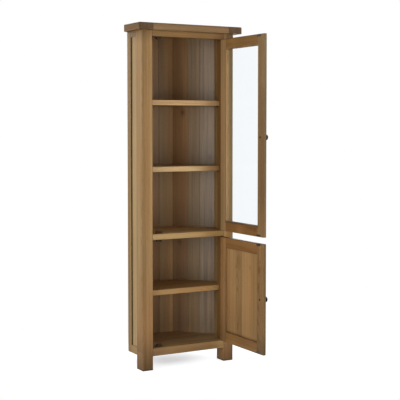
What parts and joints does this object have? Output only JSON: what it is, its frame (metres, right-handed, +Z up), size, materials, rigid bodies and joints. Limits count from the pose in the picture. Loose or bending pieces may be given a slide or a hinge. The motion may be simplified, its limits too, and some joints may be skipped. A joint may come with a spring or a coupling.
{
  "type": "corner display cabinet",
  "caption": "Tall oak corner display cabinet on short legs with a glazed upper door over a panelled lower door, both hung on the right and standing open.",
  "frame": {"origin": "On the floor, in the middle of the box round the cabinet with both doors open at a right angle, which is under the middle of the front edge of the top.", "axes": "+Z is up along the height. +Y runs from the open front towards the back that fits into the room corner. +X is to the right seen from the front, the side the doors hang on."},
  "size_m": [0.628, 0.808, 1.85],
  "materials": {
    "oak_frame": "oiled oak, satin, straight grain along each piece",
    "oak_panel": "oiled oak, satin, flat panels",
    "oak_back": "oiled oak boards, tongued and grooved",
    "oak_top": "oiled oak, satin, end grain darker",
    "oak_shelf": "oiled oak, satin, pale front edges",
    "oak_door": "oiled oak, satin",
    "clear_glass": "clear float glass",
    "black_metal": "black, satin",
    "hinge_metal": "antique brass, satin",
    "steel": "bright zinc plated steel",
    "catch_plastic": "dark brown moulded plastic"
  },
  "bodies": {
    "carcase": {"front_post_left": "oak_frame", "front_post_right": "oak_frame", "rear_leg_left": "oak_frame", "rear_leg_right": "oak_frame", "side_stile_left": "oak_frame", "side_stile_right": "oak_frame", "side_top_rail_left": "oak_frame", "side_top_rail_right": "oak_frame", "side_bottom_rail_left": "oak_frame", "side_bottom_rail_right": "oak_frame", "frieze_rail": "oak_frame", "middle_rail": "oak_frame", "bottom_rail": "oak_frame", "side_panel_left": "oak_panel", "side_panel_right": "oak_panel", "back_board_left": "oak_back", "back_board_right": "oak_back", "wall_board_left_1": "oak_back", "wall_board_left_2": "oak_back", "wall_board_left_3": "oak_back", "wall_board_right_1": "oak_back", "wall_board_right_2": "oak_back", "wall_board_right_3": "oak_back", "top_board_front": "oak_top", "top_board_middle": "oak_top", "top_board_rear": "oak_top", "top_side_board_left": "oak_top", "top_side_board_right": "oak_top", "fixed_shelf": "oak_shelf", "bottom_board": "oak_shelf", "upper_shelf_high": "oak_shelf", "upper_shelf_low": "oak_shelf", "lower_shelf": "oak_shelf", "shelf_pins": "steel", "hinge_pins": "steel", "hinge_post_screws": "steel", "catch_magnets": "steel", "hinge_post_leaves": "hinge_metal", "catch_housings": "catch_plastic"},
    "upper_door": {"upper_door_hinge_stile": "oak_door", "upper_door_free_stile": "oak_door", "upper_door_top_rail": "oak_door", "upper_door_bottom_rail": "oak_door", "upper_door_glass": "clear_glass", "upper_door_glazing_beads": "oak_door", "upper_door_knob": "black_metal", "upper_door_hinge_leaves": "hinge_metal", "upper_door_strike_plates": "steel", "upper_door_screws": "steel"},
    "lower_door": {"lower_door_hinge_stile": "oak_door", "lower_door_free_stile": "oak_door", "lower_door_top_rail": "oak_door", "lower_door_bottom_rail": "oak_door", "lower_door_panel": "oak_panel", "lower_door_knob": "black_metal", "lower_door_hinge_leaves": "hinge_metal", "lower_door_strike_plates": "steel", "lower_door_screws": "steel"}
  },
  "joints": [
    {"name": "upper_door_hinge", "type": "hinge", "parent": "carcase", "child": "upper_door", "pos_m": [0.218, 0.031, 1.257], "axis": [0, 0, 1], "range_deg": [-90, 80]},
    {"name": "lower_door_hinge", "type": "hinge", "parent": "carcase", "child": "lower_door", "pos_m": [0.218, 0.031, 0.409], "axis": [0, 0, 1], "range_deg": [-90, 80]}
  ]
}
